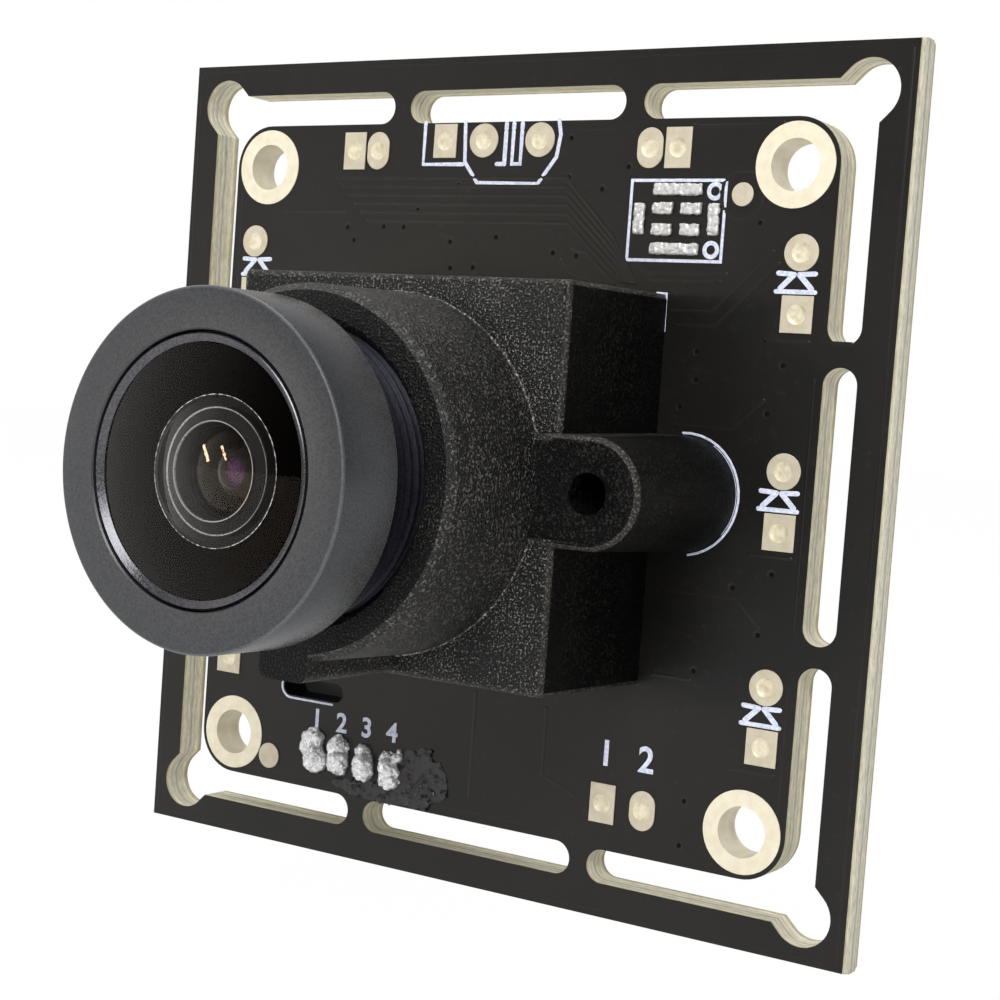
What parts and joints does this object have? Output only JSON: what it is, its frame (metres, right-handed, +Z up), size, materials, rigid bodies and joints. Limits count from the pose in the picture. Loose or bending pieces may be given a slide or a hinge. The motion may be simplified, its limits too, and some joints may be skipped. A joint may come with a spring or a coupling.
{
  "type": "board camera module",
  "caption": "Square board camera: a black circuit board with a break-away rim, a moulded lens holder screwed to its front and a screw-focus wide-angle lens.",
  "frame": {"origin": "centre of the four mounting holes, on the board's rear face", "axes": "+Z up as in the picture, +Y out of the rear face, the lens looks along -Y, +X to the right when the lens is looked at"},
  "size_m": [0.0382, 0.0264, 0.0382],
  "materials": {
    "laminate": "glass-fibre board under semi-matte black solder mask",
    "gold_plating": "pale immersion gold over nickel",
    "tin_plating": "hot-dipped tin, slightly domed",
    "holder_plastic": "glass-filled moulding with a spark-eroded grain",
    "barrel_metal": "black anodised, satin turned",
    "retainer_metal": "black anodised, matt",
    "coated_glass": "polished, multi-coated",
    "clear_glass": "polished, coated",
    "spacer_metal": "black anodised, matt",
    "stop_foil": "matt black foil",
    "filter_glass": "coated, faintly cyan",
    "screw_steel": "black nickel plated",
    "sensor_package": "matt",
    "silicon": "polished silicon with a colour filter",
    "connector_plastic": "natural moulded nylon",
    "pin_metal": "tinned",
    "solder": "hand-soldered, lumpy",
    "chip_plastic": "moulded epoxy",
    "lead_metal": "tinned",
    "can_metal": "nickel plated",
    "ferrite": "matt ferrite",
    "capacitor_ceramic": "fired, matt",
    "resistor_glaze": "glazed"
  },
  "bodies": {
    "board": {"main_board": "laminate", "mounting_hole_lands": "gold_plating", "contact_pads": "gold_plating", "tinned_pads": "tin_plating", "lens_holder": "holder_plastic", "holder_screws": "screw_steel", "image_sensor": "sensor_package", "sensor_die": "silicon", "sensor_cover_glass": "clear_glass", "cable_connector": "connector_plastic", "connector_pins": "pin_metal", "connector_solder_joints": "solder", "controller_chip": "chip_plastic", "controller_leads": "lead_metal", "memory_chip": "chip_plastic", "memory_leads": "lead_metal", "voltage_regulators": "chip_plastic", "regulator_leads": "lead_metal", "clock_crystal": "can_metal", "power_inductor": "ferrite", "line_choke": "ferrite", "chip_capacitors": "capacitor_ceramic", "chip_resistors": "resistor_glaze", "chip_terminals": "lead_metal"},
    "lens_carriage": {"spacer_ring": "spacer_metal", "second_element": "clear_glass", "aperture_stop": "stop_foil", "third_element": "clear_glass", "rear_spacer": "spacer_metal", "rear_element": "clear_glass"},
    "lens": {"lens_barrel": "barrel_metal", "front_retainer": "retainer_metal", "front_element": "coated_glass", "rear_retainer": "retainer_metal", "infrared_filter": "filter_glass"}
  },
  "joints": [
    {"name": "focus_travel", "type": "slide", "parent": "board", "child": "lens_carriage", "axis": [0, -1, 0], "range_m": [-0.0005, 0.0005]},
    {"name": "focus_turn", "type": "hinge", "parent": "lens_carriage", "child": "lens", "pos_m": [0, -0.0145, 0], "axis": [0, -1, 0], "range_deg": [-360, 360]}
  ],
  "couplings": [
    {"joint": "focus_turn", "follows": "focus_travel", "rad_per_m": 12566}
  ]
}
